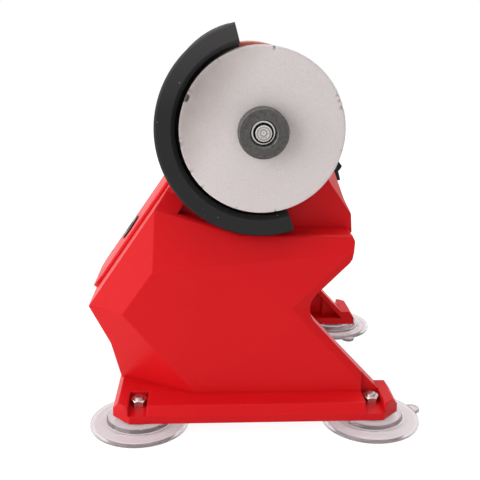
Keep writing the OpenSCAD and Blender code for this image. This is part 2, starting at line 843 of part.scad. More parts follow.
// Guard: back plate, rim and front lip in one section, turned through its sweep
module guard(side) {
    y0 = tower_y;
    plate_y = y0 + guard_wall;
    rim_r = guard_r - guard_wall;
    lip_y = guard_y1 - lip_t;
    soft = 0.8;
    section = [[guard_plate_r, y0], [guard_r, y0], [guard_r, guard_y1 - soft], [guard_r - soft, guard_y1],
        [guard_lip_r + lip_bevel[0], guard_y1], [guard_lip_r, guard_y1 - lip_bevel[1]], [guard_lip_r, lip_y],
        [rim_r, lip_y], [rim_r, plate_y], [guard_plate_r, plate_y]];
    difference() {
        on_spindle(side) rotate([0, 0, guard_from])
            rotate_extrude(angle = guard_sweep, $fn = 96) polygon(section);
        on_spindle(side) guard_screw_places() cylinder(d = guard_screw_d + 0.4, h = big);
    }
}

module left_guard() {
    color("#2e2e30") guard(-1);
}

module right_guard() {
    color("#2e2e30") guard(1);
}

module guard_screws() {
    color("silver") for (side = [-1, 1]) on_spindle(side) guard_screw_places()
        translate([0, 0, tower_y + guard_wall])
            pan_screw(guard_screw_d, guard_screw_len, guard_head_d, guard_head_h);
}

// Rocker switch on the front of the tower
module switch_body() {
    color("#1b1b1d") on_front(switch_s) difference() {
        union() {
            translate([-switch_len / 2, -switch_w / 2, 0]) cube([switch_len, switch_w, frame_t]);
            translate([-switch_body_len / 2, -switch_body_w / 2, -switch_depth])
                cube([switch_body_len, switch_body_w, switch_depth + eps]);
        }
        translate([0, 0, rocker_pivot]) rotate([90, 0, 0])
            cylinder(r = rocker_r + rocker_gap, h = rocker_w + 2 * rocker_gap, center = true);
        translate([-rocker_r - rocker_gap, -rocker_w / 2 - rocker_gap, rocker_pivot])
            cube([2 * (rocker_r + rocker_gap), rocker_w + 2 * rocker_gap, big]);
        translate([0, 0, rocker_pivot]) rotate([90, 0, 0])
            cylinder(d = rocker_pin_d + 2 * run_fit, h = rocker_w + 2 * rocker_gap + 1.6, center = true);
    }
}

// Two flat faces that meet in a shallow valley, ends round the pivot; it lies with its lower end raised
module rocker() {
    top = frame_t - rocker_pivot + rocker_rise;
    valley = top - rocker_len / 2 * tan(rocker_swing / 2);
    x = sqrt(rocker_r * rocker_r - top * top);
    color("#242427") on_front(switch_s) translate([0, 0, rocker_pivot]) rotate([0, -rocker_swing / 2, 0])
        rotate([90, 0, 0]) {
            translate([0, 0, -rocker_w / 2]) linear_extrude(rocker_w) intersection() {
                circle(rocker_r);
                polygon([[-rocker_r, -2.6], [rocker_r, -2.6], [rocker_r, frame_t - rocker_pivot - 0.6],
                    [x, top], [0, valley], [-x, top], [-rocker_r, frame_t - rocker_pivot - 0.6]]);
            }
            cylinder(d = rocker_pin_d, h = rocker_w + 2 * rocker_gap + 1.2, center = true);
        }
}

module switch_terminals() {
    color("#c9b27c") on_front(switch_s) for (s = [-1, 1])
        translate([s * 4 - blade[0] / 2, -blade[1] / 2, -switch_depth - blade[2]]) cube(blade);
}

// Charging jack through the rear cover
module charge_jack() {
    color("#161617") on_rear(jack_s) difference() {
        union() {
            translate([0, 0, cover_h]) rotate_extrude() polygon([[0, 0], [jack_d / 2, 0],
                [jack_d / 2, jack_face_t - jack_edge], [jack_d / 2 - jack_edge, jack_face_t],
                [0, jack_face_t]]);
            translate([0, 0, cover_h - jack_body_len]) cylinder(d = jack_body_d, h = jack_body_len + eps);
        }
        translate([0, 0, cover_h + jack_face_t - 10]) cylinder(d = 6, h = big);
        translate([0, 0, -big / 2]) cylinder(d = 2, h = big);
    }
}

module jack_nut() {
    color("silver") on_rear(jack_s) translate([0, 0, -wall - 2.4]) difference() {
        cylinder(d = 16, h = 2.4, $fn = 6);
        translate([0, 0, -1]) cylinder(d = jack_body_d + 2 * press_fit, h = 5);
    }
}

module jack_pin() {
    color("silver") on_rear(jack_s) translate([0, 0, cover_h - jack_body_len - 2])
        cylinder(d = 2 - 2 * press_fit, h = jack_body_len + jack_face_t + 1);
}

// Battery pack
module battery_cells() {
    color("#3b7fb8") for (x = cells_x) translate([x, -cell_len / 2, cell_z]) rotate([-90, 0, 0]) {
        cylinder(d = cell_d, h = cell_len - 1);
        cylinder(d = 8, h = cell_len);
    }
}

module cell_brackets() {
    w = 3 * cell_pitch + 2;
    color("#202022") for (s = [-1, 1]) difference() {
        translate([cells_x[1] - w / 2, s * bracket_y - bracket_t / 2, plate_top])
            cube([w, bracket_t, bracket_h]);
        for (x = cells_x) translate([x, s * bracket_y - big / 2, cell_z]) rotate([-90, 0, 0])
            cylinder(d = cell_d + 2 * seat_fit, h = big);
    }
}

module cell_strips() {
    w = cell_pitch + strip_over;
    color("#c8c9cc") for (i = [0, 1], s = [-1, 1])
        translate([(cells_x[i] + cells_x[i + 1]) / 2 - w / 2, s * (cell_len / 2) - (s < 0 ? strip_t : 0),
            cell_z - strip_w / 2]) if ((i + (s + 1) / 2) % 2 == 0) cube([w, strip_t, strip_w]);
}

module control_board() {
    color("#1f6b3a") translate([cells_x[1] - board[0] / 2, -board[1] / 2, board_z]) cube(board);
}

module board_parts() {
    color("#2a2a2c") translate([cells_x[1], 0, board_z + board[2]]) {
        translate(coil_at) cylinder(d = coil[0], h = coil[1]);
        translate(cap_at) cylinder(d = cap[0], h = cap[1]);
        translate(relay_at) cube(relay);
        translate(chip_at) cube(chip);
    }
}

// Suction cup with a raised ring, a neck under the base and a pull tab on its rim
module cup(c) {
    translate([c[0] * cup_x, c[1] * cup_y, 0]) {
        difference() {
            union() {
                rotate_extrude($fn = 96) polygon([[0, 0], [cup_r - 0.8, 0], [cup_r, 0.8], [cup_r, rim_h - 0.6],
                    [cup_r - 0.6, rim_h], [cup_ring_r + 0.6, rim_h + 0.8], [cup_ring_r, rim_h + 2.2],
                    [cup_ring_r - 2.6, rim_h + 2.4], [cup_neck_r + 1, base_z - 0.4], [cup_neck_r, base_z],
                    [0, base_z]]);
                rotate([0, 0, c[2]]) {
                    translate([0, -tab_w / 2, 0.2]) cube([tab_reach - tab_w / 2, tab_w, tab_t]);
                    translate([tab_reach - tab_w / 2, 0, 0.2]) cylinder(d = tab_w, h = tab_t);
                }
            }
            rotate_extrude($fn = 96) polygon([[0, -1], [cup_r - cup_lip, -1], [cup_r - cup_lip, 0],
                [2 * cup_neck_r, cup_hollow - 0.4], [cup_hollow_r, cup_hollow], [0, cup_hollow]]);
            translate([0, 0, stud_head_z + 0.1]) cylinder(d = stud_d + 2 * press_fit, h = big);
            translate([0, 0, stud_head_z])
                cylinder(d = stud_head_d + 2 * press_fit, h = stud_head_h + 2 * stud_play);
        }
    }
}

module cup_rear_left() {
    color([0.92, 0.92, 0.93, 0.5]) cup(cups[0]);
}

module cup_front_left() {
    color([0.92, 0.92, 0.93, 0.5]) cup(cups[1]);
}

module cup_front_right() {
    color([0.92, 0.92, 0.93, 0.5]) cup(cups[2]);
}

module cup_rear_right() {
    color([0.92, 0.92, 0.93, 0.5]) cup(cups[3]);
}

// Studs with a head held inside the cup, and the nuts that clamp the base to them
module cup_studs() {
    color("silver") cup_places() {
        translate([0, 0, stud_head_z + 0.2]) cylinder(d = stud_d, h = stud_top - stud_head_z - 0.2);
        translate([0, 0, stud_head_z + stud_play]) cylinder(d = stud_head_d, h = stud_head_h);
    }
}

module cup_nuts() {
    corner = nut_af / cos(30);
    color("silver") cup_places() translate([0, 0, pocket_z]) difference() {
        intersection() {
            cylinder(d = corner, h = nut_h, $fn = 6);
            rotate_extrude() polygon([[0, 0], [corner / 2, 0], [corner / 2, nut_h - 0.6],
                [nut_af / 2 - 0.1, nut_h], [0, nut_h]]);
        }
        translate([0, 0, -1]) cylinder(d = stud_d + 2 * press_fit, h = nut_h + 2);
    }
}

left_shell();
right_shell();
rear_cover();
base_plate();
shell_screws();
plate_screws();
cover_screws();
motor_can();
motor_end_cap();
motor_magnets();
motor_bushes();
motor_brushes();
motor_shaft();
rotor_core();
rotor_windings();
commutator();
wheel_arbors();
white_wheel();
brown_wheel();
clamp_washers();
lock_rings();
wheel_screws();
left_guard();
right_guard();
guard_screws();
switch_body();
rocker();
switch_terminals();
charge_jack();
jack_nut();
jack_pin();
battery_cells();
cell_brackets();
cell_strips();
control_board();
board_parts();
cup_rear_left();
cup_front_left();
cup_front_right();
cup_rear_right();
cup_studs();
cup_nuts();
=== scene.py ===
"""Looks of a cordless mini bench grinder: finishes, grinding wheels, suction cups and the studio."""

import json
import math
import random

import bmesh
import bpy
from bpy.props import FloatProperty, FloatVectorProperty, IntProperty, PointerProperty
from mathutils import Matrix, Vector


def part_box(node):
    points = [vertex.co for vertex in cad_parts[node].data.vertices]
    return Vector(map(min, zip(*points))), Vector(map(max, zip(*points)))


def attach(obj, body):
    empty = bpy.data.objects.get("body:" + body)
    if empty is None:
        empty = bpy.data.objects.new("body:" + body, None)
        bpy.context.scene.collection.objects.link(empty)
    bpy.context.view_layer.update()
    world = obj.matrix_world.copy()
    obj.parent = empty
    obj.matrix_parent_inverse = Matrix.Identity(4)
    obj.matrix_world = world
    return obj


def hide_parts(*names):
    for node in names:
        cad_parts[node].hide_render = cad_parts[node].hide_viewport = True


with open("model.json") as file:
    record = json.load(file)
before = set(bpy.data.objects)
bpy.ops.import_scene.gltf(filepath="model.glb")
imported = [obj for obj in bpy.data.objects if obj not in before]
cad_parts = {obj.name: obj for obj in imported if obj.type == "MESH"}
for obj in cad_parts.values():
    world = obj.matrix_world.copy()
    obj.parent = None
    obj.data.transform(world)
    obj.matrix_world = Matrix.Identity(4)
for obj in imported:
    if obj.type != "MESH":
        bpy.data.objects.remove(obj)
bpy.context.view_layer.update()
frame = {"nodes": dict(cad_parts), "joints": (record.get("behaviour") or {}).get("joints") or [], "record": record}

bl_info = {
    "name": "Bench Grinder Looks",
    "version": (1, 0, 0),
    "blender": (4, 5, 0),
    "location": "View3D > Sidebar > Grinder",
    "description": "Dresses a small cordless bench grinder and sets up its studio",
    "category": "Object",
}

MM = 0.001
WHITE = (1, 1, 1)
BLACK = (0, 0, 0)
SLOT_OF = {part["node"]: part["material_slot"] for part in frame["record"]["subparts"]}
SPINDLE = Vector(next(j["pos_m"] for j in frame["joints"] if j["name"] == "spindle_spin"))


# Settings


def linear(code):
    """Turns an sRGB hex colour into the linear values that Blender works with."""
    parts = [int(code[i:i + 2], 16) / 255 for i in (1, 3, 5)]
    return tuple(p / 12.92 if p <= 0.04045 else ((p + 0.055) / 1.055) ** 2.4 for p in parts)


def colour(name, code):
    """A colour setting with its sRGB default."""
    return FloatVectorProperty(name=name, description=f"Colour of the {name.lower()}", subtype="COLOR",
                               size=3, min=0, max=1, default=linear(code))


def length(name, words, millimetres):
    """A length setting, given in millimetres and kept in metres."""
    return FloatProperty(name=name, description=words, default=millimetres * MM, min=0,
                         precision=5, subtype="DISTANCE", unit="LENGTH")


def watts(name, words, power):
    """A lamp's power setting."""
    return FloatProperty(name=name, description=f"Power of {words}", default=power, min=0,
                         subtype="POWER", unit="POWER")


class GrinderColours(bpy.types.PropertyGroup):
    """Colours of the visible finishes."""

    housing: colour("Red housing", "#DB151C")
    guards: colour("Black guards", "#1B1B1C")
    white_wheel: colour("White wheel", "#DDD4D3")
    brown_wheel: colour("Brown wheel", "#C4664B")
    washers: colour("Clamping washers", "#403E3B")
    zinc: colour("Zinc plating", "#C8C3C1")
    cups: colour("Suction cups", "#DDD3D6")
    switch: colour("Switch and jack", "#0F0F10")


class GrinderSizes(bpy.types.PropertyGroup):
    """Sizes that belong to the looks and not to the solids."""

    edge_round: length("Edge rounding", "Radius of the moulded edges", 0.9)
    # Real mould grain, grit and turned lines are too fine to show, so these five are drawn coarser
    mould_grain: length("Mould grain", "Spacing of the moulded texture on housing and guards", 0.55)
    white_grain: length("White grit", "Width of a grain in the white wheel", 0.5)
    brown_grain: length("Brown grit", "Width of a grain in the brown wheel", 0.9)
    turning: length("Turning lines", "Spacing of the turned lines on the washers", 0.35)
    screw_turning: length("Screw rings", "Spacing of the turned rings on the wheel screws", 1.3)
    chips: IntProperty(name="Chips", description="Small chips round a wheel's edge", default=26, min=0)
    chip_depth: length("Chip depth", "Depth of a chip of full size", 0.9)
    wheel_edge: length("Wheel edge", "Worn corner between a wheel's face and its rim", 0.7)


class GrinderStudio(bpy.types.PropertyGroup):
    """Lamps and camera of the studio."""

    key: watts("Key lamp", "the large lamp on the left", 5.0)
    rear: watts("Rear lamp", "the lamp behind on the left", 1.2)
    top: watts("Top lamp", "the lamp overhead", 3.2)
    front: watts("Front lamp", "the low lamp in front", 0.8)
    back: watts("Back lamp", "the lamp behind on the right", 2.5)
    ambient: FloatProperty(name="Ambient", description="Strength of the light from all round",
                           default=0.32, min=0)
    lens: FloatProperty(name="Lens", description="Focal length on a 36 mm sensor", default=56.4, min=1,
                        subtype="DISTANCE_CAMERA", unit="CAMERA")


def settings():
    """The three groups of settings."""
    scene = bpy.context.scene
    return scene.grinder_colours, scene.grinder_sizes, scene.grinder_studio


# Nodes and colours

# Distance between the lines of a wave texture whose scale is 1
WAVE_PERIOD = math.tau / 20


def add_node(tree, kind, values=None, **options):
    """Adds a shader node, sets its options, and gives each named input a constant or a link."""
    made = tree.nodes.new("ShaderNode" + kind)
    for option, value in options.items():
        setattr(made, option, value)
    for name, value in (values or {}).items():
        if isinstance(value, bpy.types.NodeSocket):
            tree.links.new(value, made.inputs[name])
        else:
            made.inputs[name].default_value = value
    return made


def start_material(name):
    """A new material with its shader, and the place on the object as texture coordinates."""
    material = bpy.data.materials.new(name)
    material.use_nodes = True
    tree = material.node_tree
    shader = tree.nodes["Principled BSDF"]
    place = add_node(tree, "TexCoord").outputs["Object"]
    return material, tree, shader, place


def once_every(spacing):
    """Texture scale of a pattern that repeats once in a length in metres."""
    return 1 / spacing


def opaque(rgb):
    """A colour with full alpha."""
    return (*rgb[:3], 1)


def mixed(rgb, other, share):
    """A colour part of the way to another."""
    return tuple(a + (b - a) * share for a, b in zip(rgb, other))


# Kinds of surface


def rounded_edges_and_corners(tree, radius):
    """A normal that rounds outer edges, how far it turns there, and how deep a place is in a corner."""
    bent = add_node(tree, "Bevel", {"Radius": radius}, samples=6).outputs["Normal"]
    flat = add_node(tree, "NewGeometry").outputs["True Normal"]
    clear = add_node(tree, "AmbientOcclusion", {"Distance": 2 * radius}, samples=8, only_local=True)
    corner = add_node(tree, "MapRange", {"Value": clear.outputs["AO"], "From Min": 0.97,
                                         "From Max": 0.82}).outputs["Result"]
    # A mix node has an A and a B for each kind of value, so the vector ones are given by number
    rounded = add_node(tree, "Mix", {4: bent, 5: flat, 0: corner}, data_type="VECTOR").outputs[1]
    same = add_node(tree, "VectorMath", {0: rounded, 1: flat}, operation="DOT_PRODUCT").outputs["Value"]
    edge = add_node(tree, "MapRange", {"Value": same, "From Min": 0.995, "From Max": 0.8})
    return rounded, edge.outputs["Result"], corner


# Painted top light and grinding specks: heights above the spindle between which the painted light thickens, and
# the distance between specks
DUST_AND_LIGHT_GREY = linear("#B9B4B1")
TOP_LIGHT_FROM, TOP_LIGHT_FULL = 8 * MM, 44 * MM
SPECK_SPACING, SPECK_STRENGTH = 3.2 * MM, 5


def dust_and_top_light(tree, place, dust_and_shading):
    """Share of pale grey: painted light that thickens with height, and stronger dusty specks in some cells of a
    pattern.
    """
    height = add_node(tree, "SeparateXYZ", {"Vector": place}).outputs["Z"]
    painted_top_light = add_node(tree, "MapRange", {"Value": height, "From Min": SPINDLE.z + TOP_LIGHT_FROM,
                                       "From Max": SPINDLE.z + TOP_LIGHT_FULL, "To Max": dust_and_shading})
    cells = add_node(tree, "TexVoronoi", {"Vector": place, "Scale": once_every(SPECK_SPACING)})
    number = add_node(tree, "SeparateColor", {"Color": cells.outputs["Color"]}).outputs["Red"]
    # About three cells in ten hold a speck, in the middle of the cell
    chosen = add_node(tree, "MapRange", {"Value": number, "From Min": 0.7, "From Max": 0.72,
                                         "To Max": SPECK_STRENGTH * dust_and_shading})
    middle = add_node(tree, "MapRange", {"Value": cells.outputs["Distance"], "From Min": 0.11,
                                         "From Max": 0.06})
    speck = add_node(tree, "Math", {0: chosen.outputs["Result"], 1: middle.outputs["Result"]},
                     operation="MULTIPLY")
    return add_node(tree, "Math", {0: painted_top_light.outputs["Result"], 1: speck.outputs["Value"]},
                    operation="MAXIMUM").outputs["Value"]


# Moulded surfaces: size of the slow drift in colour and its two ends, painted shade in corners, and gloss range
DRIFT_SIZE, DRIFT_DARK, DRIFT_PALE = 30 * MM, 0.06, 0.003
CORNER_SHADE_SHARE, CORNER_SHADE_DARK = 0.08, 0.8
SMOOTHER, ROUGHER = 0.05, 0.07
GRAIN_DEPTH = 0.06 * MM
PLASTIC_IOR = 1.53


def moulded(name, rgb, grain, edge_radius, rough, edge_rgb, edge_share, gloss_level=0.5, dust_and_shading=0):
    """Moulded or pressed surface: even colour, fine grain, paler edges, painted shade in corners, satin gloss."""
    material, tree, shader, place = start_material(name)
    rounded, edge, corner = rounded_edges_and_corners(tree, edge_radius)
    drift = add_node(tree, "TexNoise", {"Vector": place, "Scale": once_every(DRIFT_SIZE), "Detail": 3})
    grains = add_node(tree, "TexNoise", {"Vector": place, "Scale": once_every(grain), "Detail": 2})
    tone = add_node(tree, "Mix", {"Factor": drift.outputs["Fac"],
                                  "A": opaque(mixed(rgb, BLACK, DRIFT_DARK)),
                                  "B": opaque(mixed(rgb, WHITE, DRIFT_PALE))}, data_type="RGBA")
    # Edges are mixed towards a paler colour: a painted highlight on the housing and guards, real rubbed and cut
    # edges on inner parts
    edge_wear_and_highlight = add_node(tree, "Math", {0: edge, 1: edge_share}, operation="MULTIPLY").outputs["Value"]
    worn_and_highlit = add_node(tree, "Mix", {"Factor": edge_wear_and_highlight, "A": tone.outputs["Result"], "B": opaque(edge_rgb)},
                    data_type="RGBA")
    # Inner corners are mixed towards a darker colour: painted shade where the corners are deep
    corner_shade = add_node(tree, "Math", {0: corner, 1: CORNER_SHADE_SHARE}, operation="MULTIPLY").outputs["Value"]
    surface = add_node(tree, "Mix", {"Factor": corner_shade, "A": worn_and_highlit.outputs["Result"],
                                     "B": opaque(mixed(rgb, BLACK, CORNER_SHADE_DARK))}, data_type="RGBA")
    # The pale grey stands for dusty specks, and for painted light that makes the top paler
    if dust_and_shading:
        surface = add_node(tree, "Mix", {"Factor": dust_and_top_light(tree, place, dust_and_shading),
                                         "A": surface.outputs["Result"], "B": opaque(DUST_AND_LIGHT_GREY)},
                           data_type="RGBA")
    gloss = add_node(tree, "MapRange", {"Value": drift.outputs["Fac"], "To Min": rough - SMOOTHER,
                                        "To Max": rough + ROUGHER})
    bump = add_node(tree, "Bump", {"Height": grains.outputs["Fac"], "Strength": 0.25,
                                   "Distance": GRAIN_DEPTH, "Normal": rounded})
    tree.links.new(surface.outputs["Result"], shader.inputs["Base Color"])
    tree.links.new(gloss.outputs["Result"], shader.inputs["Roughness"])
    tree.links.new(bump.outputs["Normal"], shader.inputs["Normal"])
    shader.inputs["IOR"].default_value = PLASTIC_IOR
    shader.inputs["Specular IOR Level"].default_value = gloss_level
    return material


# Abrasive: the way to the side under the guard that is painted in shade, where that painted shade starts, and the
# sizes of clouds
SHADED_SIDE = Vector((-0.88, 0, 0.47))
ACROSS_SPINDLE = Vector((1, 0, 1))
SIDE_SHADE_FROM = 0.28
CLUMP_SIZE, CLOUD_SIZE = 5 * MM, 22 * MM
GRAIN_DARK, GRAIN_PALE, RIM_PALE, PORE_SHARE, CHIP_SHADE = 0.10, 0.12, 0.6, 0.15, 0.8
PORE_DEPTH = 0.12 * MM
CHIP_MARK = "chip"


def painted_side_shade(tree, place, from_axis, outer, dust_and_shading):
    """Cloudy share of the painted shade that darkens one side of a wheel."""
    towards = add_node(tree, "VectorMath", {0: from_axis, 1: SHADED_SIDE}, operation="DOT_PRODUCT")
    side = add_node(tree, "MapRange", {"Value": towards.outputs["Value"], "From Min": outer * SIDE_SHADE_FROM,
                                       "From Max": outer, "To Max": dust_and_shading},
                    interpolation_type="SMOOTHSTEP")
    cloud = add_node(tree, "TexNoise", {"Vector": place, "Scale": once_every(CLOUD_SIZE), "Detail": 2})
    shade_blotches = add_node(tree, "MapRange", {"Value": cloud.outputs["Fac"], "From Min": 0.3, "From Max": 0.7,
                                        "To Min": 0.7, "To Max": 1.1})
    return add_node(tree, "Math", {0: side.outputs["Result"], 1: shade_blotches.outputs["Result"]},
                    operation="MULTIPLY").outputs["Value"]


def dressed_rim(tree, from_axis, outer, dressed):
    """Share of fresh pale grain on the rim, where a wheel is dressed."""
    _, sizes, _ = settings()
    flat = add_node(tree, "VectorMath", {0: from_axis, 1: ACROSS_SPINDLE}, operation="MULTIPLY")
    radius = add_node(tree, "VectorMath", {0: flat.outputs["Vector"]}, operation="LENGTH")
    return add_node(tree, "MapRange", {"Value": radius.outputs["Value"],
                                       "From Min": outer - sizes.wheel_edge,
                                       "From Max": outer - sizes.wheel_edge / 2,
                                       "To Max": dressed}).outputs["Result"]


def bonded_abrasive(name, rgb, grain, dark, dust_and_shading, outer, dressed):
    """Fired abrasive without gloss: packed grains, pores and chips darkened by painted shade, painted shade on one
    side, paler at the rim.
    """
    material, tree, shader, place = start_material(name)
    from_axis = add_node(tree, "VectorMath", {0: place, 1: SPINDLE}, operation="SUBTRACT").outputs["Vector"]
    grit = add_node(tree, "TexVoronoi", {"Vector": place, "Scale": once_every(grain)})
    clump = add_node(tree, "TexNoise", {"Vector": place, "Scale": once_every(CLUMP_SIZE), "Detail": 4})
    value = add_node(tree, "SeparateColor", {"Color": grit.outputs["Color"]}).outputs["Red"]
    # A few grains in a hundred have broken out and left a pore, which is painted darker as shade in the hollow
    pores = add_node(tree, "MapRange", {"Value": value, "From Min": 0.955,
                                        "From Max": 0.99}).outputs["Result"]
    tint = add_node(tree, "MapRange", {"Value": value, "To Min": 0.2, "To Max": 0.8}).outputs["Result"]
    grains = add_node(tree, "Mix", {"Factor": tint, "A": opaque(mixed(rgb, BLACK, GRAIN_DARK)),
                                    "B": opaque(mixed(rgb, WHITE, GRAIN_PALE))}, data_type="RGBA")
    holes = add_node(tree, "Math", {0: pores, 1: PORE_SHARE}, operation="MULTIPLY").outputs["Value"]
    chips = add_node(tree, "Attribute", attribute_name=CHIP_MARK).outputs["Fac"]
    # The dark colour on one side, in the pores and in the chips is painted shade
    layers = (
        (clump.outputs["Fac"], rgb),
        (dressed_rim(tree, from_axis, outer, dressed), mixed(rgb, WHITE, RIM_PALE)),
        (painted_side_shade(tree, place, from_axis, outer, dust_and_shading), dark),
        (holes, dark),
        (chips, mixed(dark, BLACK, CHIP_SHADE)),
    )
    surface = grains.outputs["Result"]
    for share, over in layers:
        surface = add_node(tree, "Mix", {"Factor": share, "A": surface, "B": opaque(over)},
                           data_type="RGBA").outputs["Result"]
    height = add_node(tree, "Math", {0: value, 1: pores}, operation="SUBTRACT").outputs["Value"]
    bump = add_node(tree, "Bump", {"Height": height, "Strength": 0.5, "Distance": PORE_DEPTH})
    tree.links.new(surface, shader.inputs["Base Color"])
    tree.links.new(bump.outputs["Normal"], shader.inputs["Normal"])
    shader.inputs["Roughness"].default_value = 0.92
    shader.inputs["Specular IOR Level"].default_value = 0.25
    return material


# Turned steel: size of its spots, radius and share of its paler edges of wear and painted highlight, depth of its
# lines and their painted shade
SPOT_SIZE, SPOT_DARK, SPOT_PALE = 1.5 * MM, 0.35, 0.10
TURNED_EDGE, TURNED_WEAR_AND_SHINE, WEAR_AND_SHINE_PALE = 0.25 * MM, 0.7, 0.7
GROOVE_DEPTH, GROOVE_SHADE = 0.02 * MM, 0.8


def turned_steel(name, rgb, spacing, rough, groove):
    """Turned steel: rings about the spindle with painted shade in the grooves, gloss drawn into rays, edges of
    wear and painted highlight.
    """
    material, tree, shader, place = start_material(name)
    centred = add_node(tree, "Mapping", {"Vector": place, "Location": -SPINDLE}).outputs["Vector"]
    rings = add_node(tree, "TexWave", {"Vector": centred, "Scale": WAVE_PERIOD / spacing,
                                       "Distortion": 0.4}, wave_type="RINGS", rings_direction="Y")
    spots = add_node(tree, "TexNoise", {"Vector": place, "Scale": once_every(SPOT_SIZE), "Detail": 4})
    tone = add_node(tree, "Mix", {"Factor": spots.outputs["Fac"], "A": opaque(mixed(rgb, BLACK, SPOT_DARK)),
                                  "B": opaque(mixed(rgb, WHITE, SPOT_PALE))}, data_type="RGBA")
    rounded, edge, _ = rounded_edges_and_corners(tree, TURNED_EDGE)
    # Edges are mixed towards a paler colour: rubbed wear and a painted highlight
    edge_wear_and_highlight = add_node(tree, "Math", {0: edge, 1: TURNED_WEAR_AND_SHINE}, operation="MULTIPLY").outputs["Value"]
    worn_and_highlit = add_node(tree, "Mix", {"Factor": edge_wear_and_highlight, "A": tone.outputs["Result"],
                                  "B": opaque(mixed(rgb, WHITE, WEAR_AND_SHINE_PALE))}, data_type="RGBA")
    # The grooves of the turned lines are mixed towards a darker colour: painted shade
    lines = add_node(tree, "MapRange", {"Value": rings.outputs["Fac"], "To Min": groove, "To Max": 0})
    grooved = add_node(tree, "Mix", {"Factor": lines.outputs["Result"], "A": worn_and_highlit.outputs["Result"],
                                     "B": opaque(mixed(rgb, BLACK, GROOVE_SHADE))}, data_type="RGBA")
    bump = add_node(tree, "Bump", {"Height": rings.outputs["Fac"], "Strength": 0.3,
                                   "Distance": GROOVE_DEPTH, "Normal": rounded})
    way = add_node(tree, "Tangent", direction_type="RADIAL", axis="Y").outputs["Tangent"]
    tree.links.new(grooved.outputs["Result"], shader.inputs["Base Color"])
    tree.links.new(bump.outputs["Normal"], shader.inputs["Normal"])
    tree.links.new(way, shader.inputs["Tangent"])
    shader.inputs["Metallic"].default_value = 1
    shader.inputs["Roughness"].default_value = rough
    shader.inputs["Anisotropic"].default_value = 0.6
    return material


# Plated metal: radius of its edges, how far its clouds change its colour and gloss, and their depth
METAL_EDGE, METAL_CLOUD, METAL_DEPTH = 0.2 * MM, 0.12, 0.05 * MM
BRIGHTER, DULLER = 0.06, 0.08


def plated_metal(name, rgb, rough, spot=2 * MM):
    """Plated or bare metal: bright, with a slightly cloudy gloss and rounded edges."""
    material, tree, shader, place = start_material(name)
    cloud = add_node(tree, "TexNoise", {"Vector": place, "Scale": once_every(spot), "Detail": 4})
    rounded, _, _ = rounded_edges_and_corners(tree, METAL_EDGE)
    tone = add_node(tree, "Mix", {"Factor": cloud.outputs["Fac"],
                                  "A": opaque(mixed(rgb, BLACK, METAL_CLOUD)),
                                  "B": opaque(mixed(rgb, WHITE, METAL_CLOUD))}, data_type="RGBA")
    gloss = add_node(tree, "MapRange", {"Value": cloud.outputs["Fac"], "To Min": rough - BRIGHTER,
                                        "To Max": rough + DULLER})
    bump = add_node(tree, "Bump", {"Height": cloud.outputs["Fac"], "Strength": 0.08,
                                   "Distance": METAL_DEPTH, "Normal": rounded})
    tree.links.new(tone.outputs["Result"], shader.inputs["Base Color"])
    tree.links.new(gloss.outputs["Result"], shader.inputs["Roughness"])
    tree.links.new(bump.outputs["Normal"], shader.inputs["Normal"])
    shader.inputs["Metallic"].default_value = 1
    return material


BAND_DEPTH = 0.1 * MM


def banded(name, rgb, other, spacing, direction, metallic, rough):
    """Stacked sheet or wound wire: fine bands across one direction."""
    material, tree, shader, place = start_material(name)
    bands = add_node(tree, "TexWave", {"Vector": place, "Scale": WAVE_PERIOD / spacing, "Distortion": 0.5},
                     wave_type="BANDS", bands_direction=direction)
    tone = add_node(tree, "Mix", {"Factor": bands.outputs["Fac"], "A": opaque(other), "B": opaque(rgb)},
                    data_type="RGBA")
    bump = add_node(tree, "Bump", {"Height": bands.outputs["Fac"], "Strength": 0.5, "Distance": BAND_DEPTH})
    tree.links.new(tone.outputs["Result"], shader.inputs["Base Color"])
    tree.links.new(bump.outputs["Normal"], shader.inputs["Normal"])
    shader.inputs["Metallic"].default_value = metallic
    shader.inputs["Roughness"].default_value = rough
    return material


# Finishes


def red_abs():
    """Injection-moulded ABS: a strong even red with a satin gloss, and edges made a little paler by a painted
    highlight.
    """
    colours, sizes, _ = settings()
    return moulded("moulded_red_abs", colours.housing, sizes.mould_grain, sizes.edge_round, rough=0.36,
                   edge_rgb=linear("#F2686E"), edge_share=0.1, gloss_level=0.1)


def black_nylon():
    """Injection-moulded nylon: near black and matt, made paler towards the top by painted light, with dusty
    specks.
    """
    colours, sizes, _ = settings()
    return moulded("moulded_black_nylon", colours.guards, sizes.mould_grain, sizes.edge_round, rough=0.5,
                   edge_rgb=linear("#5A5A5B"), edge_share=0.3, gloss_level=0.18, dust_and_shading=0.08)


def black_polycarbonate():
    """Moulded polycarbonate: black and smooth, with a clear gloss and small crisp edges."""
    colours, _, _ = settings()
    return moulded("glossy_black_polycarbonate", colours.switch, grain=0.3 * MM, edge_radius=0.35 * MM,
                   rough=0.25, edge_rgb=linear("#4A4A4B"), edge_share=0.3, gloss_level=0.15)


def white_alumina():
    """White fused alumina, pressed and fired: chalky off-white grains, greyed on one side by painted shade."""
    colours, sizes, _ = settings()
    return bonded_abrasive("white_fused_alumina", colours.white_wheel, sizes.white_grain,
                           dark=linear("#8F837F"), dust_and_shading=0.75, outer=wheel_radius("white_wheel"),
                           dressed=0.1)


def brown_alumina():
    """Brown fused alumina, pressed and fired: coarse red-brown grains with a pale dressed rim."""
    colours, sizes, _ = settings()
    return bonded_abrasive("brown_fused_alumina", colours.brown_wheel, sizes.brown_grain,
                           dark=linear("#5A2A1C"), dust_and_shading=0.2, outer=wheel_radius("brown_wheel"),
                           dressed=0.5)


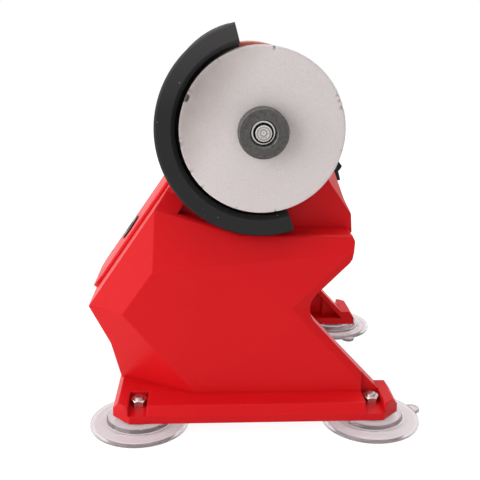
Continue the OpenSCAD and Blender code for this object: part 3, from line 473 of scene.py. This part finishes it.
def blackened_steel():
    """Turned and blackened steel: dark grey with faint rings of painted shade, and bright edges of wear and
    painted highlight.
    """
    colours, sizes, _ = settings()
    return turned_steel("blackened_turned_steel", colours.washers, sizes.turning, rough=0.42, groove=0.3)


def turned_zinc():
    """Turned and zinc-plated steel: bright metal in rings, the dark ones painted shade in the turned grooves."""
    colours, sizes, _ = settings()
    return turned_steel("turned_zinc_steel", colours.zinc, sizes.screw_turning, rough=0.24, groove=0.75)


def zinc_steel():
    """Zinc-plated steel: bright, slightly cloudy grey metal."""
    colours, _, _ = settings()
    return plated_metal("zinc_plated_steel", colours.zinc, rough=0.24)


def can_steel():
    """Deep-drawn and plated steel: duller grey metal with large soft clouds."""
    return plated_metal("plated_can_steel", linear("#A9ABAE"), rough=0.35, spot=6 * MM)


def nickel():
    """Bright nickel strip: smooth, warm silver."""
    return plated_metal("bright_nickel", linear("#CFCCC4"), rough=0.25)


def copper():
    """Turned copper: warm, bright and slightly cloudy."""
    return plated_metal("turned_copper", linear("#C98558"), rough=0.3)


def bronze():
    """Sintered bronze: dull yellow metal with fine speckles."""
    return plated_metal("sintered_bronze", linear("#B98A45"), rough=0.5, spot=0.6 * MM)


def core_sheet():
    """Stamped steel sheet in a stack: fine light and dark bands along the spindle."""
    return banded("stamped_core_sheet", linear("#8A8C90"), linear("#4C4E52"), spacing=0.5 * MM,
                  direction="Y", metallic=1, rough=0.4)


def enamelled_wire():
    """Enamelled copper wire: glossy red-brown turns side by side."""
    return banded("enamelled_copper_wire", linear("#C2662E"), linear("#6E2F10"), spacing=0.45 * MM,
                  direction="X", metallic=0.8, rough=0.3)


def shrink_wrap():
    """Heat-shrunk PVC film: blue and glossy with soft ripples."""
    _, sizes, _ = settings()
    return moulded("shrink_wrap_pvc", linear("#2F6FA8"), grain=1.2 * MM, edge_radius=sizes.edge_round,
                   rough=0.3, edge_rgb=linear("#6FA0CC"), edge_share=0.3)


def solder_mask():
    """Lacquered circuit board: glossy dark green, straw-coloured where its edges are cut."""
    return moulded("green_solder_mask", linear("#1C6B39"), grain=0.8 * MM, edge_radius=0.2 * MM,
                   rough=0.3, edge_rgb=linear("#C9B36A"), edge_share=0.6)


def ferrite():
    """Sintered ferrite: dull dark grey with paler edges."""
    _, sizes, _ = settings()
    return moulded("sintered_ferrite", linear("#4A4A4D"), grain=0.4 * MM, edge_radius=sizes.edge_round,
                   rough=0.7, edge_rgb=linear("#6A6A6D"), edge_share=0.4)


def carbon():
    """Pressed carbon: dull, near black, with paler rubbed edges."""
    return moulded("pressed_carbon", linear("#3A3A3C"), grain=0.4 * MM, edge_radius=0.2 * MM,
                   rough=0.55, edge_rgb=linear("#606062"), edge_share=0.4)


# Soft PVC: sizes of its ripples and clouds, depth of a ripple, and how dark its steep faces are
RIPPLE_SIZE, HAZE_SIZE, RIPPLE_DEPTH = 6 * MM, 3 * MM, 0.3 * MM
STEEP_SHADE = 0.42


def soft_pvc():
    """Soft clear PVC: glassy and a little cloudy, grey where a steep face bends the light aside."""
    colours, _, _ = settings()
    material, tree, shader, place = start_material("clear_soft_pvc")
    ripple = add_node(tree, "TexNoise", {"Vector": place, "Scale": once_every(RIPPLE_SIZE), "Detail": 2})
    haze = add_node(tree, "TexNoise", {"Vector": place, "Scale": once_every(HAZE_SIZE), "Detail": 3})
    facing = add_node(tree, "SeparateXYZ", {"Vector": add_node(tree, "NewGeometry").outputs["Normal"]})
    level = add_node(tree, "Math", {0: facing.outputs["Z"]}, operation="ABSOLUTE").outputs["Value"]
    steep = add_node(tree, "MapRange", {"Value": level, "From Min": 0.9, "From Max": 0.3}).outputs["Result"]
    tone = add_node(tree, "Mix", {"Factor": steep, "A": opaque(colours.cups),
                                  "B": opaque(mixed(colours.cups, BLACK, STEEP_SHADE))}, data_type="RGBA")
    gloss = add_node(tree, "MapRange", {"Value": haze.outputs["Fac"], "To Min": 0.06, "To Max": 0.22})
    bump = add_node(tree, "Bump", {"Height": ripple.outputs["Fac"], "Strength": 0.12,
                                   "Distance": RIPPLE_DEPTH})
    tree.links.new(tone.outputs["Result"], shader.inputs["Base Color"])
    tree.links.new(gloss.outputs["Result"], shader.inputs["Roughness"])
    tree.links.new(bump.outputs["Normal"], shader.inputs["Normal"])
    shader.inputs["IOR"].default_value = 1.45
    shader.inputs["Transmission Weight"].default_value = 0.85
    return material


FINISH_MAKERS = {
    "red_abs": red_abs,
    "black_plastic": black_nylon,
    "black_gloss": black_polycarbonate,
    "white_abrasive": white_alumina,
    "brown_abrasive": brown_alumina,
    "dark_steel": blackened_steel,
    "zinc_steel": zinc_steel,
    "can_steel": can_steel,
    "nickel": nickel,
    "copper": copper,
    "bronze": bronze,
    "lamination": core_sheet,
    "enamel_wire": enamelled_wire,
    "cell_wrap": shrink_wrap,
    "board_green": solder_mask,
    "ferrite": ferrite,
    "carbon": carbon,
    "clear_pvc": soft_pvc,
}
FINISHES = {}


def finish_of(slot):
    """The finish of one of the record's slots, made once."""
    if slot not in FINISHES:
        FINISHES[slot] = FINISH_MAKERS[slot]()
    return FINISHES[slot]


def dress(*nodes, finish=None):
    """Gives solids of the frame a finish, which is their slot's unless another is named."""
    for name in nodes:
        for entry in frame["nodes"][name].material_slots:
            entry.material = finish or finish_of(SLOT_OF[name])


# Meshes

# Points closer than this are one, and an edge that rises by less than this is level, in metres
SAME_PLACE, LEVEL = 1e-7, 1e-9


def add_piece(name, mesh, body, node):
    """Links a mesh as a piece that rides on a body and stands for a solid of the frame."""
    piece = bpy.data.objects.new(name, mesh)
    bpy.context.scene.collection.objects.link(piece)
    mesh.materials.append(finish_of(SLOT_OF[node]))
    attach(piece, body)
    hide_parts(node)
    return piece


def lathe(profile, steps):
    """A closed solid of revolution about Z, from points given as (radius, height)."""
    made = bmesh.new()
    rows = []
    for step in range(steps):
        turn = math.tau * step / steps
        rows.append([made.verts.new((r * math.cos(turn), r * math.sin(turn), z)) for r, z in profile])
    for row, following in zip(rows, rows[1:] + rows[:1]):
        for i in range(len(profile)):
            j = (i + 1) % len(profile)
            made.faces.new((row[i], following[i], following[j], row[j]))
    bmesh.ops.remove_doubles(made, verts=made.verts, dist=SAME_PLACE)
    bmesh.ops.recalc_face_normals(made, faces=made.faces)
    return made


def smooth_mesh(made, name, sharp_angle):
    """Turns a bmesh into a mesh that is smooth across edges flatter than the angle in degrees."""
    for face in made.faces:
        face.smooth = True
    for edge in made.edges:
        edge.smooth = edge.calc_face_angle(0) < math.radians(sharp_angle)
    mesh = bpy.data.meshes.new(name)
    made.to_mesh(mesh)
    made.free()
    return mesh


# A wheel's steps round the spindle, and the angle in degrees from which its edges are sharp
WHEEL_STEPS, WHEEL_SHARP = 480, 40
# Rows of points on its face, as shares of the radius and as lengths from its edge
FACE_SHARES, FACE_ROWS = (0.35, 0.7), (3 * MM, 2 * MM, 1.3 * MM)
# Rows of points on its rim, as lengths from its face, and how far its worn corner bulges
RIM_ROWS, CORNER_SHARE = (2 * MM, 4 * MM), 0.3
# A chip's length along the edge, its reach from the edge, and how far it slants into the face
CHIP_LENGTH, CHIP_REACH, CHIP_SLANT = 1.3 * MM, 1.6 * MM, 0.6
# The lowest draw for a random chip's size, and how dark the painted shade of such a chip is
SMALLEST_CHIP, SMALL_CHIP_DARK = 0.3, 0.3
# How strongly painted shade darkens a chip's hollow, and the rim beside it
HOLLOW_DARK, RIM_DARK = 2.2, 0.4
# The two chips that show on the white wheel: angle in degrees, size and darkness of their painted shade
WHITE_CHIPS = ((156.5, 1.5, 1), (83, 0.4, 0.7))
WHITE_SEED, BROWN_SEED = 7, 19


def wheel_radius(node):
    """Outer radius of a grinding wheel."""
    low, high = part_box(node)
    return (high.x - low.x) / 2


def wheel_profile(bore, outer, half, edge):
    """Half section of a wheel with worn corners, and with close rows near them for the chips."""
    radii = [bore, *(outer * share for share in FACE_SHARES), *(outer - row for row in (*FACE_ROWS, edge))]
    upper = [(r, half) for r in radii]
    upper.append((outer - edge * CORNER_SHARE, half - edge * CORNER_SHARE))
    upper += [(outer, half - row) for row in (edge, *RIM_ROWS)]
    return upper + [(r, -z) for r, z in reversed(upper)]


def wheel_chips(seed, known_chips, count):
    """Chips as (angle, size, side, darkness of painted shade): the known ones, then small ones drawn from the
    seed.
    """
    chance = random.Random(seed)
    chips = [(math.radians(at), size, 1, dark) for at, size, dark in known_chips]
    for _ in range(count):
        at = chance.uniform(0, math.tau)
        size = chance.uniform(SMALLEST_CHIP, 1) ** 2
        chips.append((at, size, chance.choice((-1, 1)), SMALL_CHIP_DARK))
    return chips


def chip_away(made, chips, outer, half, edge, deepest):
    """Presses chips into the edges of a wheel that lies flat, and marks their points with the strength of their
    painted shade.
    """
    mark = made.verts.layers.float.new(CHIP_MARK)
    for vertex in made.verts:
        radius, turn = math.hypot(vertex.co.x, vertex.co.y), math.atan2(vertex.co.y, vertex.co.x)
        for at, size, side, dark in chips:
            along = abs((turn - at + math.pi) % math.tau - math.pi) * outer
            off_edge = math.hypot(outer - radius, half - side * vertex.co.z)
            near = max(0, 1 - (along / (CHIP_LENGTH * size)) ** 2)
            share = near * max(0, 1 - off_edge / CHIP_REACH)
            if near and (share or radius > outer - edge and side * vertex.co.z > 0):
                depth = deepest * size * share
                vertex.co.x -= depth * math.cos(turn)
                vertex.co.y -= depth * math.sin(turn)
                vertex.co.z -= side * depth * CHIP_SLANT
                shade = min(1, HOLLOW_DARK * share + RIM_DARK * near) * dark
                vertex[mark] = max(vertex[mark], shade)


def chipped_wheel(name, node, seed, known_chips):
    """A grinding wheel with worn corners and chips along its edges, in the place of its solid."""
    _, sizes, _ = settings()
    low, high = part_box(node)
    centre = (low + high) / 2
    outer, half = wheel_radius(node), (high.y - low.y) / 2
    points = [v.co for v in frame["nodes"][node].data.vertices]
    bore = min(math.hypot(p.x - centre.x, p.z - centre.z) for p in points)
    made = lathe(wheel_profile(bore, outer, half, sizes.wheel_edge), WHEEL_STEPS)
    chips = wheel_chips(seed, known_chips, sizes.chips)
    chip_away(made, chips, outer, half, sizes.wheel_edge, sizes.chip_depth)
    made.transform(Matrix.Translation(centre) @ Matrix.Rotation(math.radians(90), 4, "X"))
    return add_piece(name, smooth_mesh(made, name, WHEEL_SHARP), "spindle", node)


# A cup's half section in millimetres, as (radius, height), from its hollow underside round to its neck
CUP_PROFILE = (
    (0, 1.2), (6, 1.2), (14, 0.8), (19.5, 0.05), (20.2, 0), (21.6, 0), (22.2, 0.25), (22.5, 0.8),
    (22.5, 1.3), (22.2, 1.8), (21.6, 2.1), (18.5, 2.45), (16.3, 2.7), (16.0, 2.95), (15.6, 3.05),
    (15.2, 2.95), (15.0, 2.9), (14.7, 3.4), (14.4, 4.1), (14.0, 4.4), (12.6, 4.5), (10.9, 4.6),
    (9.6, 5.0), (8.6, 5.5), (7.6, 5.85), (6.8, 5.95), (0, 5.95),
)
CUP_RADIUS = max(radius for radius, _ in CUP_PROFILE) * MM
CUP_STEPS, CUP_SHARP = 128, 35
CUPS = ("cup_rear_left", "cup_front_left", "cup_front_right", "cup_rear_right")
# Depth below a cup's top in which its neck is found
NECK_DEPTH = 0.1 * MM
# The pull tab's size and its height over the table, its overlap with the rim, and its rounded edges
TAB_WIDTH, TAB_THICK, TAB_LIFT = 7 * MM, 1.6 * MM, 0.2 * MM
TAB_OVERLAP, TAB_ROUND, TAB_STEPS = 0.8 * MM, 0.35 * MM, 12


def pull_tab(reach):
    """A thin tab with a round end and soft edges, which leaves a cup's rim along X."""
    side = TAB_WIDTH / 2
    start, middle = CUP_RADIUS - TAB_OVERLAP, reach - side
    outline = [(start, -side)]
    for step in range(TAB_STEPS + 1):
        turn = math.pi * (step / TAB_STEPS - 0.5)
        outline.append((middle + math.cos(turn) * side, math.sin(turn) * side))
    outline.append((start, side))
    tab = bmesh.new()
    floor = [tab.verts.new((x, y, TAB_LIFT)) for x, y in outline]
    roof = [tab.verts.new((x, y, TAB_LIFT + TAB_THICK)) for x, y in outline]
    tab.faces.new(list(reversed(floor)))
    tab.faces.new(roof)
    for i in range(len(outline)):
        j = (i + 1) % len(outline)
        tab.faces.new((floor[i], floor[j], roof[j], roof[i]))
    level = [e for e in tab.edges if abs(e.verts[0].co.z - e.verts[1].co.z) < LEVEL]
    bmesh.ops.bevel(tab, geom=level, offset=TAB_ROUND, segments=2, affect="EDGES")
    return tab


def suction_cup(name, node):
    """A clear cup with a bead, a step and a thin pull tab, in the place of its solid."""
    points = [v.co for v in frame["nodes"][node].data.vertices]
    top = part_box(node)[1].z
    neck = [p for p in points if p.z > top - NECK_DEPTH]
    stud_x, stud_y = ((min(p[i] for p in neck) + max(p[i] for p in neck)) / 2 for i in (0, 1))
    far = max(points, key=lambda p: math.hypot(p.x - stud_x, p.y - stud_y))
    turn = math.atan2(far.y - stud_y, far.x - stud_x)
    tab = pull_tab(math.hypot(far.x - stud_x, far.y - stud_y))
    tab.transform(Matrix.Rotation(turn, 4, "Z"))
    loose = bpy.data.meshes.new(name + "_tab")
    tab.to_mesh(loose)
    tab.free()
    made = lathe([(r * MM, z * MM) for r, z in CUP_PROFILE], CUP_STEPS)
    made.from_mesh(loose)
    bpy.data.meshes.remove(loose)
    made.transform(Matrix.Translation((stud_x, stud_y, 0)))
    return add_piece(name, smooth_mesh(made, name, CUP_SHARP), "housing", node)


# Operators


class GrinderStep:
    """What every step shares: it can be repeated and undone."""

    bl_options = {"REGISTER", "UNDO"}


class GRINDER_OT_housing(GrinderStep, bpy.types.Operator):
    """Moulded red housing, its cover and the base plate"""

    bl_idname = "grinder.housing"
    bl_label = "Housing"

    def execute(self, context):
        dress("left_shell", "right_shell", "rear_cover", "base_plate")
        return {"FINISHED"}


class GRINDER_OT_guards(GrinderStep, bpy.types.Operator):
    """Black guards behind the two wheels"""

    bl_idname = "grinder.guards"
    bl_label = "Guards"

    def execute(self, context):
        dress("left_guard", "right_guard")
        return {"FINISHED"}


class GRINDER_OT_wheels(GrinderStep, bpy.types.Operator):
    """White and brown grinding wheels with worn edges"""

    bl_idname = "grinder.wheels"
    bl_label = "Grinding wheels"

    def execute(self, context):
        chipped_wheel("white_wheel_worn", "white_wheel", WHITE_SEED, WHITE_CHIPS)
        chipped_wheel("brown_wheel_worn", "brown_wheel", BROWN_SEED, ())
        return {"FINISHED"}


class GRINDER_OT_clamping(GrinderStep, bpy.types.Operator):
    """Arbors, washers, lock rings and screws that hold the wheels"""

    bl_idname = "grinder.clamping"
    bl_label = "Wheel clamping"

    def execute(self, context):
        dress("wheel_arbors", "clamp_washers")
        dress("lock_rings", "wheel_screws", finish=turned_zinc())
        return {"FINISHED"}


class GRINDER_OT_motor(GrinderStep, bpy.types.Operator):
    """Motor inside the tower"""

    bl_idname = "grinder.motor"
    bl_label = "Motor"

    def execute(self, context):
        dress("motor_can", "motor_end_cap", "motor_magnets", "motor_bushes", "motor_brushes",
              "motor_shaft", "rotor_core", "rotor_windings", "commutator")
        return {"FINISHED"}


class GRINDER_OT_battery(GrinderStep, bpy.types.Operator):
    """Battery cells and the charging board"""

    bl_idname = "grinder.battery"
    bl_label = "Battery"

    def execute(self, context):
        dress("battery_cells", "cell_brackets", "cell_strips", "control_board", "board_parts")
        return {"FINISHED"}


class GRINDER_OT_switch(GrinderStep, bpy.types.Operator):
    """Rocker switch on the front of the tower"""

    bl_idname = "grinder.switch"
    bl_label = "Switch"

    def execute(self, context):
        dress("switch_body", "rocker", "switch_terminals")
        return {"FINISHED"}


class GRINDER_OT_jack(GrinderStep, bpy.types.Operator):
    """Charging jack in the rear cover"""

    bl_idname = "grinder.jack"
    bl_label = "Charging jack"

    def execute(self, context):
        dress("charge_jack", "jack_nut", "jack_pin")
        return {"FINISHED"}


class GRINDER_OT_cups(GrinderStep, bpy.types.Operator):
    """Clear suction cups with their studs and nuts"""

    bl_idname = "grinder.cups"
    bl_label = "Suction cups"

    def execute(self, context):
        dress("cup_studs", "cup_nuts")
        for node in CUPS:
            suction_cup(node + "_clear", node)
        return {"FINISHED"}


class GRINDER_OT_screws(GrinderStep, bpy.types.Operator):
    """Screws of the shells, base plate, cover and guards"""

    bl_idname = "grinder.screws"
    bl_label = "Screws"

    def execute(self, context):
        dress("shell_screws", "plate_screws", "cover_screws", "guard_screws")
        return {"FINISHED"}


# Camera: its place, its angles in degrees and its sensor's width in millimetres
CAMERA_AT = Vector((-21.2, -367.9, 174.5)) * MM
CAMERA_DOWN, CAMERA_YAW, CAMERA_ROLL = 15.737, 2.513, 0.314
SENSOR_WIDTH, CLIP_START = 36, 10 * MM

# Floor: half its side in metres, the share of glow where it is looked at, and the glow's strength
FLOOR_HALF, FLOOR_SHARE, FLOOR_GLOW = 3, 0.7, 1.31

# Lamps: side and target in metres, then each one's setting, place, and whether gloss shows it
LAMP_SIZE, LAMP_TARGET = 0.8, (0, 0, 0.09)
LAMPS = (
    ("key", (-0.70, -0.42, 0.35), True),
    ("rear", (-0.60, 0.20, 0.70), True),
    ("top", (0.0, 0.05, 0.85), True),
    ("front", (0.10, -0.85, 0.20), True),
    ("back", (0.55, 0.70, 0.45), False),
)


class GRINDER_OT_stage(GrinderStep, bpy.types.Operator):
    """Floor, lamps, surroundings and camera"""

    bl_idname = "grinder.stage"
    bl_label = "Studio"

    def execute(self, context):
        _, _, studio = settings()
        context.scene.view_settings.view_transform = "Standard"
        self.floor()
        self.world(studio.ambient)
        for name, place, shine in LAMPS:
            self.lamp(name + "_lamp", place, getattr(studio, name), shine)
        self.camera(studio.lens)
        return {"FINISHED"}

    def where_seen(self, tree, light, seen):
        """One value for rays that light the scene, another where eye, gloss or clear material look."""
        path = add_node(tree, "LightPath").outputs
        looks = path["Is Camera Ray"]
        for ray in ("Is Glossy Ray", "Is Transmission Ray"):
            looks = add_node(tree, "Math", {0: looks, 1: path[ray]}, operation="MAXIMUM").outputs["Value"]
        return add_node(tree, "Mix", {"Factor": looks, "A": light, "B": seen}).outputs["Result"]

    def floor(self):
        """A white floor that keeps a faint shadow."""
        made = bmesh.new()
        bmesh.ops.create_grid(made, x_segments=1, y_segments=1, size=FLOOR_HALF)
        mesh = bpy.data.meshes.new("floor")
        made.to_mesh(mesh)
        made.free()
        floor = bpy.data.objects.new("floor", mesh)
        bpy.context.scene.collection.objects.link(floor)
        material = bpy.data.materials.new("white_paper_floor")
        material.use_nodes = True
        tree = material.node_tree
        tree.nodes.clear()
        lit = add_node(tree, "BsdfDiffuse", {"Color": opaque(linear("#F4F4F4"))})
        glow = add_node(tree, "Emission", {"Color": opaque(WHITE), "Strength": FLOOR_GLOW})
        share = self.where_seen(tree, 0, FLOOR_SHARE)
        both = add_node(tree, "MixShader", {0: share, 1: lit.outputs["BSDF"], 2: glow.outputs["Emission"]})
        add_node(tree, "OutputMaterial", {"Surface": both.outputs["Shader"]})
        mesh.materials.append(material)

    def world(self, ambient):
        """White to the eye and in gloss and clear material, and softer as light."""
        world = bpy.data.worlds.new("white_studio")
        world.use_nodes = True
        tree = world.node_tree
        tree.nodes.clear()
        strength = self.where_seen(tree, ambient, 1)
        back = add_node(tree, "Background", {"Color": opaque(WHITE), "Strength": strength})
        add_node(tree, "OutputWorld", {"Surface": back.outputs["Background"]})
        bpy.context.scene.world = world

    def lamp(self, name, place, power, shine):
        """A large square soft lamp turned to the grinder, which gloss may leave out."""
        data = bpy.data.lights.new(name, "AREA")
        data.size = LAMP_SIZE
        data.energy = power
        turn = (Vector(LAMP_TARGET) - Vector(place)).to_track_quat("-Z", "Y")
        lamp = bpy.data.objects.new(name, data)
        lamp.matrix_world = Matrix.Translation(place) @ turn.to_matrix().to_4x4()
        lamp.visible_glossy = shine
        bpy.context.scene.collection.objects.link(lamp)

    def camera(self, lens):
        """The camera at the photograph's viewing angle."""
        down, yaw, roll = (math.radians(a) for a in (CAMERA_DOWN, CAMERA_YAW, CAMERA_ROLL))
        ahead = Vector((math.sin(yaw) * math.cos(down), math.cos(yaw) * math.cos(down), -math.sin(down)))
        level = ahead.cross(Vector((0, 0, 1))).normalized()
        upright = level.cross(ahead)
        right = level * math.cos(roll) + upright * math.sin(roll)
        up = upright * math.cos(roll) - level * math.sin(roll)
        turn = Matrix((right, up, -ahead)).transposed().to_4x4()
        data = bpy.data.cameras.new("camera")
        data.lens = lens
        data.sensor_width = SENSOR_WIDTH
        data.clip_start = CLIP_START
        camera = bpy.data.objects.new("camera", data)
        camera.matrix_world = Matrix.Translation(CAMERA_AT) @ turn
        bpy.context.scene.collection.objects.link(camera)
        bpy.context.scene.camera = camera


STEPS = (GRINDER_OT_housing, GRINDER_OT_guards, GRINDER_OT_wheels, GRINDER_OT_clamping, GRINDER_OT_motor,
         GRINDER_OT_battery, GRINDER_OT_switch, GRINDER_OT_jack, GRINDER_OT_cups, GRINDER_OT_screws,
         GRINDER_OT_stage)


class GRINDER_PT_looks(bpy.types.Panel):
    """Lists the steps that dress the grinder."""

    bl_idname = "GRINDER_PT_looks"
    bl_label = "Bench grinder"
    bl_space_type = "VIEW_3D"
    bl_region_type = "UI"
    bl_category = "Grinder"

    def draw(self, context):
        for step in STEPS:
            self.layout.operator(step.bl_idname)


GROUPS = {"grinder_colours": GrinderColours, "grinder_sizes": GrinderSizes, "grinder_studio": GrinderStudio}


def register():
    """Adds the settings, the steps and the panel."""
    for name, group in GROUPS.items():
        bpy.utils.register_class(group)
        setattr(bpy.types.Scene, name, PointerProperty(type=group))
    for step in (*STEPS, GRINDER_PT_looks):
        bpy.utils.register_class(step)


def unregister():
    """Takes away what register added."""
    for step in (GRINDER_PT_looks, *reversed(STEPS)):
        bpy.utils.unregister_class(step)
    for name, group in GROUPS.items():
        delattr(bpy.types.Scene, name)
        bpy.utils.unregister_class(group)


def main():
    """Adds the settings, the steps and the panel, then dresses every piece in order."""
    register()
    for step in STEPS:
        group, name = step.bl_idname.split(".")
        getattr(getattr(bpy.ops, group), name)()


if __name__ == "__main__":
    main()
